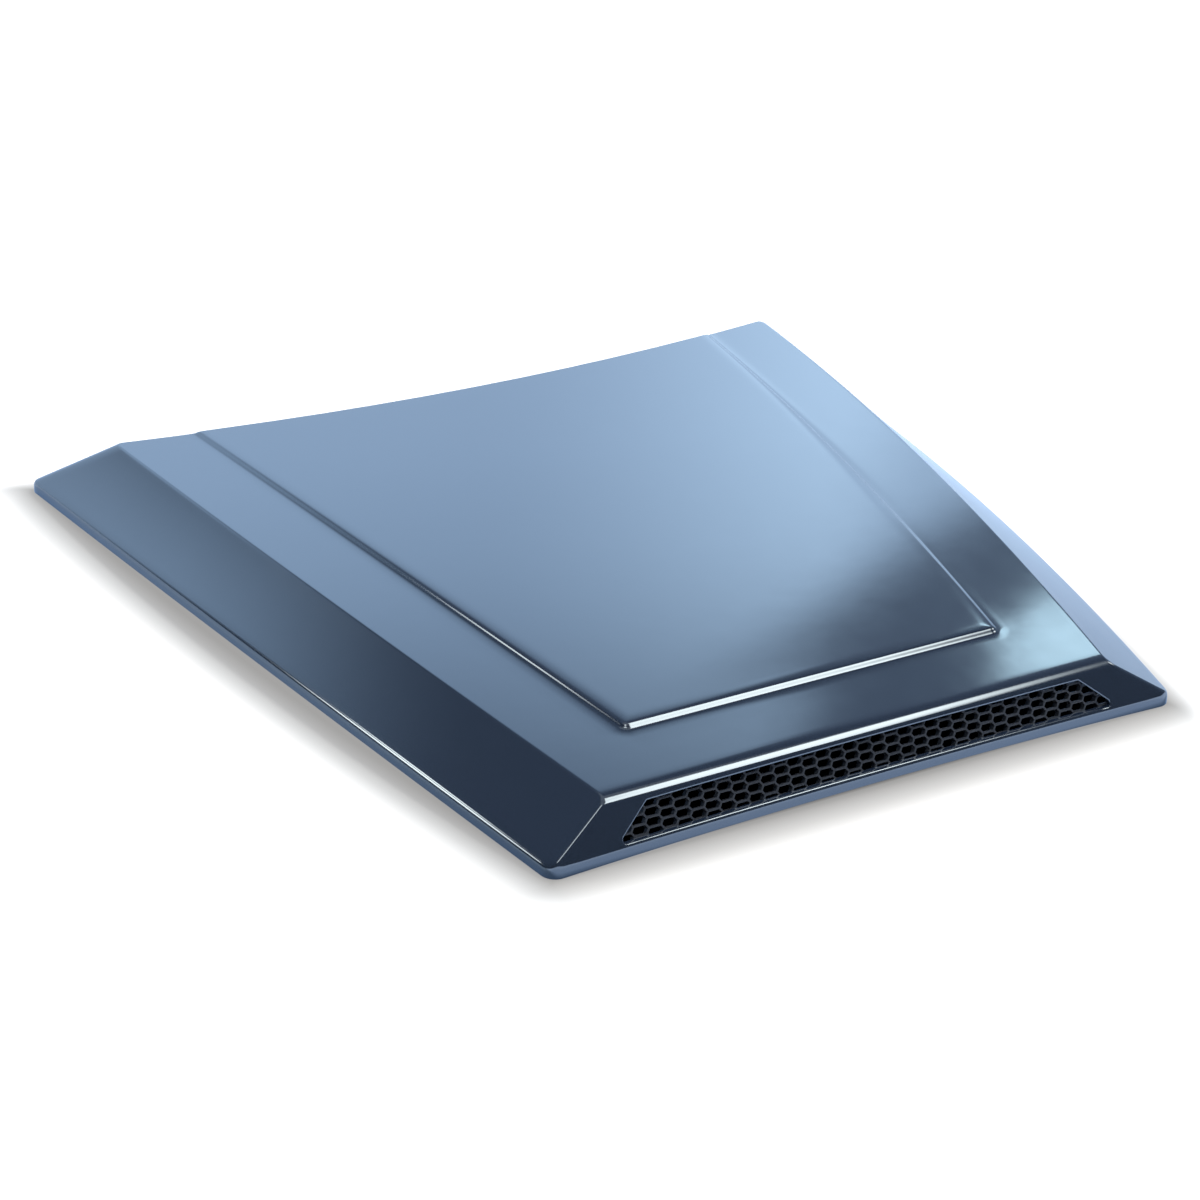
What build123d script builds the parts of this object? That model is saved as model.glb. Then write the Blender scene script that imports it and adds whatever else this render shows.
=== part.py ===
"""Bonnet scoop: one moulded shell with a raised centre panel, and a honeycomb sheet behind its front slot.

Millimetres. X runs across (the scoop is symmetric about X = 0), Y runs from the slotted front end at -Y
to the wide rear end at +Y, Z is up. The four corners of the foot stand on Z = 0.
"""
import os
from math import cos, radians, tan

from build123d import *

# Plan of the foot, measured between its unrounded corners.
LENGTH = 756.0
FOOT_FRONT_W = 500.0
FOOT_REAR_W = 724.0
FOOT_SIDE_BOW = 13.4
FOOT_REAR_HOLLOW = 52.0
FOOT_FRONT_R = 12.0
FOOT_REAR_R = 8.0

# The foot follows a bonnet: how much its sides arch along their length, and how much its middle
# stands above them.
FOOT_SIDE_ARCH = 13.0
FOOT_CROWN = 5.1

# Upright lip above the foot, and how much higher the front face starts at its middle than at its ends.
LIP_H = 7.9
FRONT_LIP_RISE = 3.0

# Edge of the top in plan: widths at its two ends, distances from the ends of the foot, bow and rear hollow.
TOP_FRONT_W = 401.4
TOP_REAR_W = 620.6
TOP_SIDE_BOW = 9.2
TOP_FRONT_INSET = 15.8
TOP_REAR_INSET = 87.8
TOP_REAR_HOLLOW = 29.0

# Height of the flat-across top at the front end, half way and at the rear end of the foot.
TOP_H_FRONT = 38.5
TOP_H_MID = 60.8
TOP_H_REAR = 63.6

# Raised centre panel.
PANEL_FRONT_W = 304.6
PANEL_REAR_W = 493.0
PANEL_SIDE_BOW = 5.4
PANEL_SETBACK = 81.8
STEP_H = 3.4
STEP_SLOPE = 40.0
STEP_R = 5.0
PANEL_CORNER_R = 6.5

# Rounding of the outside edges.
FRONT_CREASE_R = 9.0
REAR_CORNER_R = 10.0
EDGE_R = 3.0
LIP_EDGE_R = 2.2

# Wall of the moulding, and the width of its foot at the sides and rear and at the front.
WALL = 3.0
LAND_W = 8.0
FRONT_LAND_W = 3.6

# Slot cut level through the front face; heights are above the corners of the foot.
SLOT_TOP_W = 347.0
SLOT_BOTTOM_W = 400.0
SLOT_TOP_H = 32.3
SLOT_TOP_RISE = 1.2
SLOT_BOTTOM_H = 11.3
SLOT_BOTTOM_RISE = 2.0
SLOT_CORNER_R = 2.2
SLOT_RIM_R = 0.9

# Honeycomb sheet glued behind the slot, and its cells, which are longer across than up.
SHEET_T = 5.0
SHEET_LAP_END = 8.0
SHEET_LAP_TOP = 2.2
SHEET_LAP_BOTTOM = 3.4
GLUE_GAP = 0.1
CELL_PITCH_X = 11.0
CELL_PITCH_UP = 6.6
CELL_POINT = 2.2
CELL_WEB = 1.4
CELL_SHIFT_X = -5.1
CELL_SHIFT_UP = -0.9

# Room that cutting shapes reach past the part.
REACH = 120.0

HALF_L = LENGTH / 2
HALF_F, HALF_R = FOOT_FRONT_W / 2, FOOT_REAR_W / 2


def foot_half(y):
    """Half width of the foot."""
    s = (y + HALF_L) / LENGTH
    middle = (HALF_F + HALF_R) / 2 + FOOT_SIDE_BOW
    return HALF_F * (1 - s) * (1 - 2 * s) + middle * 4 * s * (1 - s) + HALF_R * s * (2 * s - 1)


def bonnet_z(x, y):
    """Height of the bonnet under the foot."""
    s = (y + HALF_L) / LENGTH
    return FOOT_SIDE_ARCH * 4 * s * (1 - s) + FOOT_CROWN * (1 - (x / foot_half(y)) ** 2)


def top_z(y):
    """Height of the top beside the panel."""
    s = (y + HALF_L) / LENGTH
    ends = TOP_H_FRONT * (1 - s) * (1 - 2 * s) + TOP_H_REAR * s * (2 * s - 1)
    return ends + TOP_H_MID * 4 * s * (1 - s)


def on_foot(x, y):
    """Point where a slope starts, above the lip."""
    return x, y, bonnet_z(x, y) + LIP_H


def on_top(x, y):
    """Point where a slope ends, on the top."""
    return x, y, top_z(y)


FRONT_TOP_Y = TOP_FRONT_INSET - HALF_L
FRONT_FACE_L = (TOP_FRONT_INSET ** 2 + (top_z(FRONT_TOP_Y) - LIP_H) ** 2) ** 0.5
FRONT_BACK = TOP_FRONT_INSET / FRONT_FACE_L
FRONT_UP = (top_z(FRONT_TOP_Y) - LIP_H) / FRONT_FACE_L


def through(start, middle, end):
    """Parabola that is at start, middle and end for s = 0, 0.5 and 1."""
    start, middle, end = Vector(*start), Vector(*middle), Vector(*end)

    def at(s):
        return start * ((1 - s) * (1 - 2 * s)) + middle * (4 * s * (1 - s)) + end * (s * (2 * s - 1))

    return at


def poles(curve, s0, s1):
    """Bezier poles of the part of a parabola between s0 and s1."""
    first, last = curve(s0), curve(s1)
    return [first, curve((s0 + s1) / 2) * 2 - (first + last) * 0.5, last]


def beyond(low, high, direction, s0=-0.12, s1=1.12, v0=-0.5, v1=1.9):
    """Solid beyond the sheet of straight lines between two parabolas, swept along direction."""

    def level(v):
        return poles(lambda s: low(s) * (1 - v) + high(s) * v, s0, s1)

    return Solid.extrude(Face.make_bezier_surface([level(v0), level(v1)]), Vector(*direction))


def spare(first, last, low_end, high_end):
    """Parameters where a curve that runs from first to last passes both ends, with room to spare."""
    span = last - first
    return (low_end - first) / span - 0.05, 1 + (high_end - last) / span + 0.05


def mirrored(shape):
    """The same shape on the other side of X = 0."""
    return mirror(shape, about=Plane.YZ)


def foot_block(side, front, rear):
    """Upright block over the plan of the foot, moved in by the three amounts."""
    half_f, half_r = HALF_F - side, HALF_R - side
    middle = (half_f + half_r) / 2 + FOOT_SIDE_BOW
    edge = through((half_f, -HALF_L, -REACH), (middle, 0, -REACH), (half_r, HALF_L, -REACH))

    def rear_y(x):
        return HALF_L - rear - FOOT_REAR_HOLLOW * (1 - (x / HALF_R) ** 2)

    s1 = 1.0
    for _ in range(40):
        s1 = (rear_y(edge(s1).X) + HALF_L) / LENGTH
    right = poles(edge, front / LENGTH, s1)
    left = [Vector(-p.X, p.Y, p.Z) for p in right]
    back = Vector(0, 2 * rear_y(0) - right[2].Y, -REACH)
    outline = Wire([
        Edge.make_line(left[0], right[0]),
        Edge.make_bezier(*right),
        Edge.make_bezier(right[2], back, left[2]),
        Edge.make_bezier(*left[::-1]),
    ])
    return Solid.extrude(Face(outline), Vector(0, 0, 3 * REACH))


def under_top(rise, floor):
    """Everything below the top, lifted by rise."""
    x = -HALF_R - REACH
    arch = through(
        (x, -HALF_L, TOP_H_FRONT + rise), (x, 0, TOP_H_MID + rise), (x, HALF_L, TOP_H_REAR + rise)
    )
    p = poles(arch, -0.2, 1.2)
    low_f, low_r = Vector(x, p[0].Y, floor), Vector(x, p[2].Y, floor)
    outline = Wire([
        Edge.make_bezier(*p),
        Edge.make_line(p[2], low_r),
        Edge.make_line(low_r, low_f),
        Edge.make_line(low_f, p[0]),
    ])
    return Solid.extrude(Face(outline), Vector(-2 * x, 0, 0))


def roof():
    """Everything below the top and the raised panel, with the step between them rounded."""
    run = STEP_H / tan(radians(STEP_SLOPE))
    y0, y1 = PANEL_SETBACK - HALF_L, HALF_L - TOP_REAR_INSET
    x0, x1, ym = PANEL_FRONT_W / 2 + run / 2, PANEL_REAR_W / 2 + run / 2, (y0 + y1) / 2
    low = through(on_top(x0, y0), on_top((x0 + x1) / 2 + PANEL_SIDE_BOW, ym), on_top(x1, y1))
    side = beyond(low, lambda s: low(s) + Vector(-run, 0, STEP_H), (2 * REACH, 0, 0), -0.25, 1.3, -6, 8)
    far, foot_y = HALF_R + 2 * REACH, y0 - run / 2
    front_low = through((-far, foot_y, top_z(y0)), (0, foot_y, top_z(y0)), (far, foot_y, top_z(y0)))
    front_high = through((-far, y0 + run / 2, top_z(y0) + STEP_H), (0, y0 + run / 2, top_z(y0) + STEP_H),
                         (far, y0 + run / 2, top_z(y0) + STEP_H))
    front = beyond(front_low, front_high, (0, -2 * REACH, 0), 0, 1, -6, 8)
    top = under_top(STEP_H, -REACH / 2) - side - mirrored(side) - front + under_top(0, -REACH)

    def step_edges(shape, rise):
        """Edges of the step that follow the top lifted by rise."""
        found = []
        for e in shape.edges():
            ends = [e @ 0, e @ 0.5, e @ 1]
            level = all(abs(p.Z - top_z(p.Y) - rise) < STEP_H / 4 for p in ends)
            inside = all(abs(p.X) < HALF_R and p.Y > y0 - 2 * run for p in ends)
            if level and inside and abs((e @ 0).X) > 1:
                found.append(e)
        return found

    def corners(shape):
        return [e for e in shape.edges() if abs((e @ 0.5).Y - y0) < run and abs(abs((e @ 0.5).X) - x0) < run
                and abs((e @ 0).Z - (e @ 1).Z) > STEP_H / 2]

    top = fillet(corners(top), PANEL_CORNER_R)
    top = fillet(step_edges(top, STEP_H), STEP_R)
    return fillet(step_edges(top, 0), STEP_R)


def flank_curves():
    """Lower and upper edge of the right flank."""
    x0, x1, y0, y1 = TOP_FRONT_W / 2, TOP_REAR_W / 2, FRONT_TOP_Y, HALF_L - TOP_REAR_INSET
    foot_mid = (HALF_F + HALF_R) / 2 + FOOT_SIDE_BOW
    low = through(on_foot(HALF_F, -HALF_L), on_foot(foot_mid, 0), on_foot(HALF_R, HALF_L))
    high = through(on_top(x0, y0), on_top((x0 + x1) / 2 + TOP_SIDE_BOW, (y0 + y1) / 2), on_top(x1, y1))
    return low, high


def flank_sheet():
    """Everything outside the right flank, past both ends of the foot."""
    low, high = flank_curves()
    s0, s1 = spare(high(0).Y, high(1).Y, -HALF_L, HALF_L)
    return beyond(low, high, (2 * REACH, 0, 0), s0, s1)


def front_curves(rise):
    """Lower and upper edge of the front face; the lower one stands up by rise at its middle."""
    low = through((-HALF_F, -HALF_L, LIP_H), (0, -HALF_L, LIP_H + rise), (HALF_F, -HALF_L, LIP_H))
    high = through(on_top(-HALF_F, FRONT_TOP_Y), on_top(0, FRONT_TOP_Y), on_top(HALF_F, FRONT_TOP_Y))
    return low, high


def rear_curves():
    """Lower and upper edge of the rear slope."""
    x1, y1 = TOP_REAR_W / 2, HALF_L - TOP_REAR_INSET
    low = through(on_foot(-HALF_R, HALF_L), on_foot(0, HALF_L - FOOT_REAR_HOLLOW), on_foot(HALF_R, HALF_L))
    high = through(on_top(-x1, y1), on_top(0, y1 - TOP_REAR_HOLLOW), on_top(x1, y1))
    return low, high


def rear_sheet():
    """Everything behind the rear slope, past both sides of the foot."""
    low, high = rear_curves()
    s0, s1 = spare(high(0).X, high(1).X, -HALF_R, HALF_R)
    return beyond(low, high, (0, 2 * REACH, 0), s0, s1)


def wall_drop(low, high):
    """Straight-down distance that leaves the wall thickness under a slope, taken half way along it."""
    across = high(0.5) - low(0.5)
    return WALL * across.length / (across.X ** 2 + across.Y ** 2) ** 0.5


def bonnet():
    """Everything below the bonnet."""

    def across(y):
        half = 1.2 * foot_half(y)
        return poles(through(*[(x, y, bonnet_z(x, y)) for x in (-half, 0, half)]), 0, 1)

    first, middle, last = across(-1.2 * HALF_L), across(0), across(1.2 * HALF_L)
    between = [m * 2 - (a + b) * 0.5 for a, m, b in zip(first, middle, last)]
    return Solid.extrude(Face.make_bezier_surface([first, between, last]), Vector(0, 0, -3 * REACH))


def sharp_edges(shape):
    """Edges where two faces meet at an angle, each with the two normals there."""
    found = {}
    for face in shape.faces():
        for edge in face.edges():
            found.setdefault(edge, []).append(face)
    pairs = []
    for edge, faces in found.items():
        if len(faces) == 2:
            a, b = [face.normal_at(edge @ 0.5) for face in faces]
            if a.dot(b) < cos(radians(6)):
                pairs.append((edge, a, b))
    return pairs


def slope_edges(shape):
    """Sharp edges between two slopes, so not those of the upright lip."""
    return [e for e, a, b in sharp_edges(shape) if min(a.Z, b.Z) > 0.02]


def corner_posts(block):
    """Upright edges of a block, front ones first."""
    return sorted(block.edges().filter_by(Axis.Z), key=lambda e: e.center().Y)


def outside(top):
    """The scoop as a full body, with its edges rounded."""
    block = foot_block(0, 0, 0)
    block = fillet(corner_posts(block)[:2], FOOT_FRONT_R)
    block = fillet(corner_posts(block)[-2:], FOOT_REAR_R)
    flank = flank_sheet()
    front = beyond(*front_curves(FRONT_LIP_RISE), (0, -2 * REACH, 0))
    body = (block & top) - flank - mirrored(flank) - front - rear_sheet() - bonnet()

    def is_rear_mitre(p):
        return abs(p.X) > TOP_REAR_W / 2 and p.Y > HALF_L - 2 * TOP_REAR_INSET

    body = fillet([e for e in slope_edges(body) if is_rear_mitre(e @ 0.5)], REAR_CORNER_R)

    def is_front_crease(p):
        return abs(p.X) < 1 and abs(p.Y - FRONT_TOP_Y) < 1

    body = fillet([e for e in slope_edges(body) if is_front_crease(e @ 0.5)], FRONT_CREASE_R)
    body = fillet(slope_edges(body), EDGE_R)
    lip = [e for e, a, b in sharp_edges(body) if min(abs(a.Z), abs(b.Z)) < 0.02 and min(a.Z, b.Z) > -0.2]
    return fillet(lip, LIP_EDGE_R)


def hollow(top):
    """The space under the wall, open below."""
    flank = flank_sheet().moved(Location((0, 0, -wall_drop(*flank_curves()))))
    rear = rear_sheet().moved(Location((0, 0, -wall_drop(*rear_curves()))))
    front = beyond(*front_curves(0), (0, -2 * REACH, 0)).moved(Location((0, WALL / FRONT_UP, 0)))
    block = foot_block(LAND_W, FRONT_LAND_W, LAND_W)
    block = fillet(corner_posts(block)[:2], max(FOOT_FRONT_R - FRONT_LAND_W, WALL / 2))
    block = fillet(corner_posts(block)[-2:], max(FOOT_REAR_R - LAND_W, WALL / 2))
    return (block & top.moved(Location((0, 0, -WALL)))) - flank - mirrored(flank) - front - rear


def slot_cut():
    """Body of the slot, cut level from in front."""
    y, half_t, half_b = -HALF_L - REACH, SLOT_TOP_W / 2, SLOT_BOTTOM_W / 2
    sill_mid, head_mid = SLOT_BOTTOM_H + SLOT_BOTTOM_RISE, SLOT_TOP_H + SLOT_TOP_RISE
    sill = through((-half_b, y, SLOT_BOTTOM_H), (0, y, sill_mid), (half_b, y, SLOT_BOTTOM_H))
    head = through((half_t, y, SLOT_TOP_H), (0, y, head_mid), (-half_t, y, SLOT_TOP_H))
    low, high = poles(sill, 0, 1), poles(head, 0, 1)
    outline = Wire([
        Edge.make_bezier(*low),
        Edge.make_line(low[2], high[0]),
        Edge.make_bezier(*high),
        Edge.make_line(high[2], low[0]),
    ])
    cut = Solid.extrude(Face(outline), Vector(0, REACH + TOP_FRONT_INSET + 2 * WALL, 0))
    return fillet(cut.edges().filter_by(Axis.Y), SLOT_CORNER_R)


def slot_rim(shell):
    """Edges where the slot opens in the front face."""
    rim = []
    for edge, a, b in sharp_edges(shell):
        face, wall = sorted((a, b), key=lambda n: n.Y)
        if (edge @ 0.5).Y < FRONT_TOP_Y and face.Y < -0.5 and abs(wall.Y) < 0.01 and (edge @ 0.5).Z > LIP_H:
            rim.append(edge)
    return rim


def scoop_shell():
    """The moulding."""
    top = roof()
    shell = outside(top) - hollow(top) - slot_cut()
    return fillet(slot_rim(shell), SLOT_RIM_R)


def cell_points(x, up):
    """Outline of one opening of the honeycomb, half a web smaller all round than its cell."""
    half_flat, half_up = (CELL_PITCH_X - CELL_POINT) / 2, CELL_PITCH_UP / 2
    slant = (CELL_POINT ** 2 + half_up ** 2) ** 0.5
    tip = half_flat + CELL_POINT - CELL_WEB / 2 * slant / half_up
    h = half_up - CELL_WEB / 2
    flat = tip - h * CELL_POINT / half_up
    corners = ((-tip, 0), (-flat, -h), (flat, -h), (tip, 0), (flat, h), (-flat, h))
    return [(x + u, up + v) for u, v in corners]


def grille_mesh():
    """The honeycomb sheet, lying against the back of the front wall."""
    back = WALL + GLUE_GAP
    plane = Plane((0, -HALF_L, LIP_H), x_dir=(1, 0, 0), z_dir=(0, -FRONT_UP, FRONT_BACK)).offset(-back)

    def up_sheet(z):
        return (z - LIP_H + back * FRONT_BACK) / FRONT_UP

    bottom = up_sheet(SLOT_BOTTOM_H) - SHEET_LAP_BOTTOM
    top = up_sheet(SLOT_TOP_H + SLOT_TOP_RISE) + SHEET_LAP_TOP
    half_b, half_t = SLOT_BOTTOM_W / 2 + SHEET_LAP_END, SLOT_TOP_W / 2 + SHEET_LAP_END
    sheet = Face(Wire.make_polygon([(-half_b, bottom), (half_b, bottom), (half_t, top), (-half_t, top)]))
    columns, rows = int(half_b / CELL_PITCH_X) + 2, int((top - bottom) / CELL_PITCH_UP) + 2
    cells = []
    for i in range(-columns, columns + 1):
        for j in range(-rows, rows + 1):
            x = CELL_SHIFT_X + i * CELL_PITCH_X
            up = (bottom + top) / 2 + CELL_SHIFT_UP + (j + (i % 2) / 2) * CELL_PITCH_UP
            cells.append(Face(Wire.make_polygon(cell_points(x, up))))
    web = sheet.cut(*cells)
    return Solid.extrude((plane * web).face(), plane.z_dir * -SHEET_T)


if __name__ == "__main__":
    shell, mesh = scoop_shell(), grille_mesh()
    box = shell.bounding_box()
    seat = Location((0, -box.center().Y, -box.min.Z))
    os.makedirs("parts", exist_ok=True)
    for name, shape in (("scoop_shell", shell), ("grille_mesh", mesh)):
        export_step(shape.moved(seat), f"parts/{name}.step")
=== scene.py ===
"""Bonnet scoop: models the gloss shell and its honeycomb, dresses them and sets them in a pale studio.

Sizes are in millimetres in the classes and in metres in Blender. X runs across, Y from the slotted front
to the rear, Z is up.
"""
import logging
import math
from dataclasses import dataclass
from enum import Enum
from typing import Callable

import bpy
import numpy as np
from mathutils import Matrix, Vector


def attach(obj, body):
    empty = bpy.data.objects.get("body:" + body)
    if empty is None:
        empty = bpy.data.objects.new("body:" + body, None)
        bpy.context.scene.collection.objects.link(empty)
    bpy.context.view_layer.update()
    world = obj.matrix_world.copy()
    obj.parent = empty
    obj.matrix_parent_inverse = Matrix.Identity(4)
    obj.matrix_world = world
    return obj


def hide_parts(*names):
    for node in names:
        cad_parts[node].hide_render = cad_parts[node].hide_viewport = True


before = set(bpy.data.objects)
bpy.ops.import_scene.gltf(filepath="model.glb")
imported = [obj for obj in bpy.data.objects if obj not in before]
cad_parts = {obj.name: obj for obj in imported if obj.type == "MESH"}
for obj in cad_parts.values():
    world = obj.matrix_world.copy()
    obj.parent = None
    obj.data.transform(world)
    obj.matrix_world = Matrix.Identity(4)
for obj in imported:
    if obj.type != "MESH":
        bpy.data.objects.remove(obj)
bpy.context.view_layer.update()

Array = np.ndarray
Height = Callable[[Array, Array], Array]

log = logging.getLogger("scoop")
Color = tuple[float, float, float]
Place = tuple[float, float, float]
Span = tuple[float, float]
Piece = bpy.types.Object
Socket = bpy.types.NodeSocket

MM = 0.001
FAR_UP = 1000.0
MOST_BAND = 9.0
SMALL_STEP = 0.05


def parabola(start: float, middle: float, end: float, s: Array) -> Array:
    """Value of the parabola that is at start, middle and end for s = 0, 0.5 and 1."""
    return start * (1 - s) * (1 - 2 * s) + middle * 4 * s * (1 - s) + end * s * (2 * s - 1)


def curve(start: Array, turn: Array, end: Array, t: Array) -> Array:
    """Place a share t along the bend from start to end that is drawn towards turn."""
    return (1 - t) ** 2 * start + 2 * t * (1 - t) * turn + t * t * end


def as_points(x: Array, y: Array, z: Array) -> Array:
    """Points from their three coordinates."""
    return np.stack([x, y, z], axis=-1)


def smooth(value: Array) -> Array:
    """Eased step from 0 to 1."""
    t = np.clip(value, 0.0, 1.0)
    return t * t * (3 - 2 * t)


def slope_of(height: Height, x: Array, y: Array) -> tuple[Array, Array]:
    """Slopes of a height along X and Y, at places across and along."""
    d = SMALL_STEP
    return (height(x + d, y) - height(x - d, y)) / (2 * d), (height(x, y + d) - height(x, y - d)) / (2 * d)


def rounded(first: Height, second: Height, radius: float) -> Height:
    """Lower of two heights, with the edge between them rounded.

    Args:
        first: One height.
        second: The other height.
        radius: Radius of the rounding.

    Returns:
        The rounded height.
    """

    def height(x: Array, y: Array) -> Array:
        """Lower of the two heights at a place, eased where they come close."""
        z1, z2 = first(x, y), second(x, y)
        g1, g2 = slope_of(first, x, y), slope_of(second, x, y)
        l1, l2 = np.sqrt(1 + g1[0] ** 2 + g1[1] ** 2), np.sqrt(1 + g2[0] ** 2 + g2[1] ** 2)
        turn = np.arccos(np.clip((1 + g1[0] * g2[0] + g1[1] * g2[1]) / (l1 * l2), -1.0, 1.0))
        reach = radius * np.tan(turn / 2) * (1 / l1 + 1 / l2) / 2
        band = np.minimum(np.hypot(g1[0] - g2[0], g1[1] - g2[1]) * reach, MOST_BAND) + 1e-9
        near = np.clip(band - np.abs(z1 - z2), 0.0, None)
        return np.minimum(z1, z2) - near ** 2 / (4 * band)

    return height


@dataclass
class ScoopShell:
    """The gloss moulding: a low wedge with a raised panel, slopes all round, an upright lip and a slot."""

    length: float = 756.0
    foot_front_w: float = 500.0
    foot_rear_w: float = 724.0
    foot_side_bow: float = 13.4
    foot_rear_hollow: float = 52.0
    foot_front_r: float = 12.0
    foot_rear_r: float = 8.05
    foot_side_arch: float = 13.0
    foot_crown: float = 5.1
    lip_h: float = 7.9
    front_lip_rise: float = 3.0
    top_front_w: float = 401.4
    top_rear_w: float = 620.6
    top_side_bow: float = 9.2
    top_front_inset: float = 15.8
    top_rear_inset: float = 87.8
    top_rear_hollow: float = 29.0
    top_h_front: float = 38.5
    top_h_mid: float = 60.8
    top_h_rear: float = 63.6
    panel_front_w: float = 304.6
    panel_rear_w: float = 493.0
    panel_side_bow: float = 5.4
    panel_setback: float = 81.8
    step_h: float = 3.385
    step_half: float = 1.45
    step_reach: float = 11.0
    step_soft: float = 0.2
    panel_corner_r: float = 4.0
    crease_back: float = 10.0
    crease_down: float = 4.9
    rear_corner_r: float = 10.0
    edge_r: float = 3.0
    lip_roll: float = 6.0
    front_lip_roll: float = 3.2
    lip_drop: float = 4.5
    wall: float = 3.0
    land_w: float = 8.0
    front_land_w: float = 3.6
    slot_top_w: float = 347.0
    slot_bottom_w: float = 400.0
    slot_top_h: float = 32.3
    slot_top_rise: float = 1.2
    slot_bottom_h: float = 11.3
    slot_bottom_rise: float = 2.0
    slot_corner_r: float = 2.2
    slot_rim_r: float = 1.4
    seat_y: float = 1.412
    seat_z: float = -0.2716
    flank_reach: float = 45.0
    rear_reach: float = 72.5
    wall_ease: float = 60.0
    smooth_angle: float = 31.0

    def __post_init__(self) -> None:
        """Works out the sizes that follow from the others."""
        self.half_l = self.length / 2
        self.half_f = self.foot_front_w / 2
        self.half_r = self.foot_rear_w / 2
        self.foot_mid = (self.half_f + self.half_r) / 2 + self.foot_side_bow
        self.top_f = self.top_front_w / 2
        self.top_r = self.top_rear_w / 2
        self.y_front = self.top_front_inset - self.half_l
        self.y_rear = self.half_l - self.top_rear_inset
        self.z_front = float(self.top_z(np.array(self.y_front)))
        face = math.hypot(self.top_front_inset, self.z_front - self.lip_h)
        self.face_back = self.top_front_inset / face
        self.face_up = (self.z_front - self.lip_h) / face
        self.wall_back = self.wall / self.face_up
        self.y_panel = self.panel_setback - self.half_l

    # Heights of the surfaces.

    LINE_STEP = 1e-4
    LINE_TRIES = 9
    REAR_TRIES = 6
    LEAST_DET = 1e-6
    LINE_RANGE = (-0.6, 1.6)
    DOWN_RANGE = (-3.0, 3.0)
    FOOT_RANGE = (0.3, 1.2)
    HALVINGS = 40

    def along(self, y: Array) -> Array:
        """Share of the way from the foot's front to its rear."""
        return (y + self.half_l) / self.length

    def foot_half(self, y: Array) -> Array:
        """Half width of the foot."""
        return parabola(self.half_f, self.foot_mid, self.half_r, self.along(y))

    def bonnet_z(self, x: Array, y: Array) -> Array:
        """Height of the bonnet under the foot."""
        s = self.along(y)
        return self.foot_side_arch * 4 * s * (1 - s) + self.foot_crown * (1 - (x / self.foot_half(y)) ** 2)

    def top_z(self, y: Array) -> Array:
        """Height of the top beside the panel."""
        return parabola(self.top_h_front, self.top_h_mid, self.top_h_rear, self.along(y))

    def top_half(self, s: Array) -> Array:
        """Half width of the top, a share s along it."""
        return parabola(self.top_f, (self.top_f + self.top_r) / 2 + self.top_side_bow, self.top_r, s)

    def panel_half(self, y: Array) -> Array:
        """Half width of the panel, at the middle of its step."""
        s = (y - self.y_panel) / (self.y_rear - self.y_panel)
        middle = (self.panel_front_w + self.panel_rear_w) / 4 + self.panel_side_bow
        return parabola(self.panel_front_w / 2, middle, self.panel_rear_w / 2, s)

    def step_z(self, x: Array, y: Array) -> Array:
        """Height of the panel over the top: a steep step between two soft shoulders."""
        r = self.panel_corner_r
        across = np.abs(x) - self.panel_half(y) + r
        along = self.y_panel - y + r
        corner = np.hypot(np.maximum(across, 0), np.maximum(along, 0))
        out = corner + np.minimum(np.maximum(across, along), 0) - r
        u = out / self.step_half
        steep = (1 - u / np.sqrt(1 + u * u)) / 2
        wide = 1 - smooth((out / self.step_reach + 1) / 2)
        return self.step_h * (steep + (wide - steep) * self.step_soft)

    def crown_z(self, x: Array, y: Array) -> Array:
        """Height of the top with its panel."""
        return self.top_z(y) + self.step_z(x, y)

    def face_low(self, x: Array, rise: float) -> Array:
        """Height of the front face's lower edge, which stands up by rise at its middle."""
        return self.lip_h + rise * (1 - (x / self.half_f) ** 2)

    def face_z(self, x: Array, y: Array, rise: float) -> Array:
        """Height of the front face, whose lower edge stands up by rise at its middle."""
        low = self.face_low(x, rise)
        return low + (self.z_front - low) * (y + self.half_l) / self.top_front_inset

    def nose_z(self, x: Array, y: Array) -> Array:
        """Height of the top and the front face with the round crease between them."""
        low = self.face_low(x, self.front_lip_rise)
        d = 0.5
        back = math.atan(float(self.top_z(np.array(self.y_front + d)) - self.z_front) / d)
        down = np.arctan((self.z_front - low) / self.top_front_inset)
        y_top = self.y_front + self.crease_back * math.cos(back)
        z_top = float(self.top_z(np.array(y_top)))
        y_face = self.y_front - self.crease_down * np.cos(down)
        z_face = self.z_front - self.crease_down * np.sin(down)
        far, turn = y_top - y, y_top - 2 * self.y_front + y_face
        reach = y_top - self.y_front
        t = far / (reach + np.sqrt(np.maximum(reach ** 2 - turn * far, 0)))
        bent = curve(z_top, self.z_front, z_face, t)
        face = self.face_z(x, y, self.front_lip_rise)
        return np.where(y >= y_top, self.crown_z(x, y), np.where(y <= y_face, face, bent))

    def flank_line(self, s: Array, w: Array) -> tuple[Array, Array, Array]:
        """Point of the right flank on the straight line s, from the top (w = 0) to the lip (w = 1)."""
        high_y = self.y_front + (self.y_rear - self.y_front) * s
        high = self.top_half(s), high_y, self.top_z(high_y)
        low_z = self.lip_h + self.foot_side_arch * 4 * s * (1 - s)
        low = parabola(self.half_f, self.foot_mid, self.half_r, s), -self.half_l + self.length * s, low_z
        return tuple(a + (b - a) * w for a, b in zip(high, low))

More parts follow.
